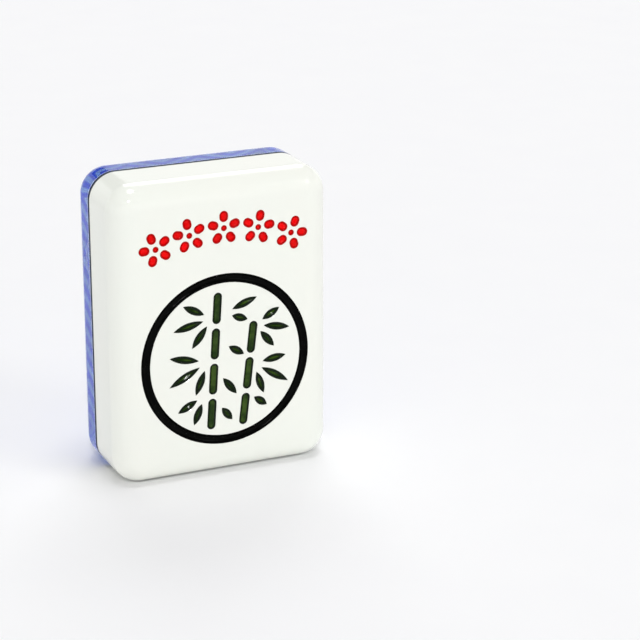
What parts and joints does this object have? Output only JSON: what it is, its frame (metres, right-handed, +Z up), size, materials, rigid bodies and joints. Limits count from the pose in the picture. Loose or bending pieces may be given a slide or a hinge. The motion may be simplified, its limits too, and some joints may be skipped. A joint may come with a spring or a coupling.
{
  "type": "mahjong tile",
  "caption": "Mahjong tile: an engraved, painted white block and a clear cap glued over a chevron sheet; stands on its short edge and is drawn, stacked and discarded in play.",
  "frame": {"origin": "centre of the bounding box's foot, on the short edge that the tile stands on", "axes": "+Z up the face, +Y from the engraved face to the clear back, +X to the right seen from the face"},
  "size_m": [0.0222, 0.0112, 0.03],
  "materials": {
    "white_body": "polished white melamine with soft edges",
    "dark_glue": "thin glue film, dark grey-green at its edge",
    "blue_sheet": "woven blue sheet with paler flecks",
    "light_ink": "light blue stripes soaked into the sheet",
    "clear_glue": "clear glue film",
    "clear_acrylic": "clear polished acrylic, index about 1.49",
    "black_paint": "glossy black paint in the groove",
    "red_paint": "glossy red paint in the grooves",
    "green_paint": "glossy dark green paint in the grooves",
    "white_ink": "flat white line, stamped in flush"
  },
  "bodies": {
    "root": {"face_block": "white_body", "face_glue_film": "dark_glue", "pattern_sheet": "blue_sheet", "chevron_print": "light_ink", "cap_glue_film": "clear_glue", "clear_cap": "clear_acrylic", "black_ring_paint": "black_paint", "blossom_paint_1": "red_paint", "blossom_paint_2": "red_paint", "blossom_paint_3": "red_paint", "blossom_paint_4": "red_paint", "blossom_paint_5": "red_paint", "tall_stalk_paint": "green_paint", "short_stalk_paint": "green_paint", "upper_left_leaf_paint": "green_paint", "middle_left_leaf_paint": "green_paint", "lower_left_leaf_paint": "green_paint", "upper_middle_leaf_paint": "green_paint", "middle_leaf_paint": "green_paint", "upper_right_leaf_paint": "green_paint", "lower_right_leaf_paint": "green_paint", "blossom_print": "white_ink", "stem_print": "white_ink"}
  },
  "joints": []
}
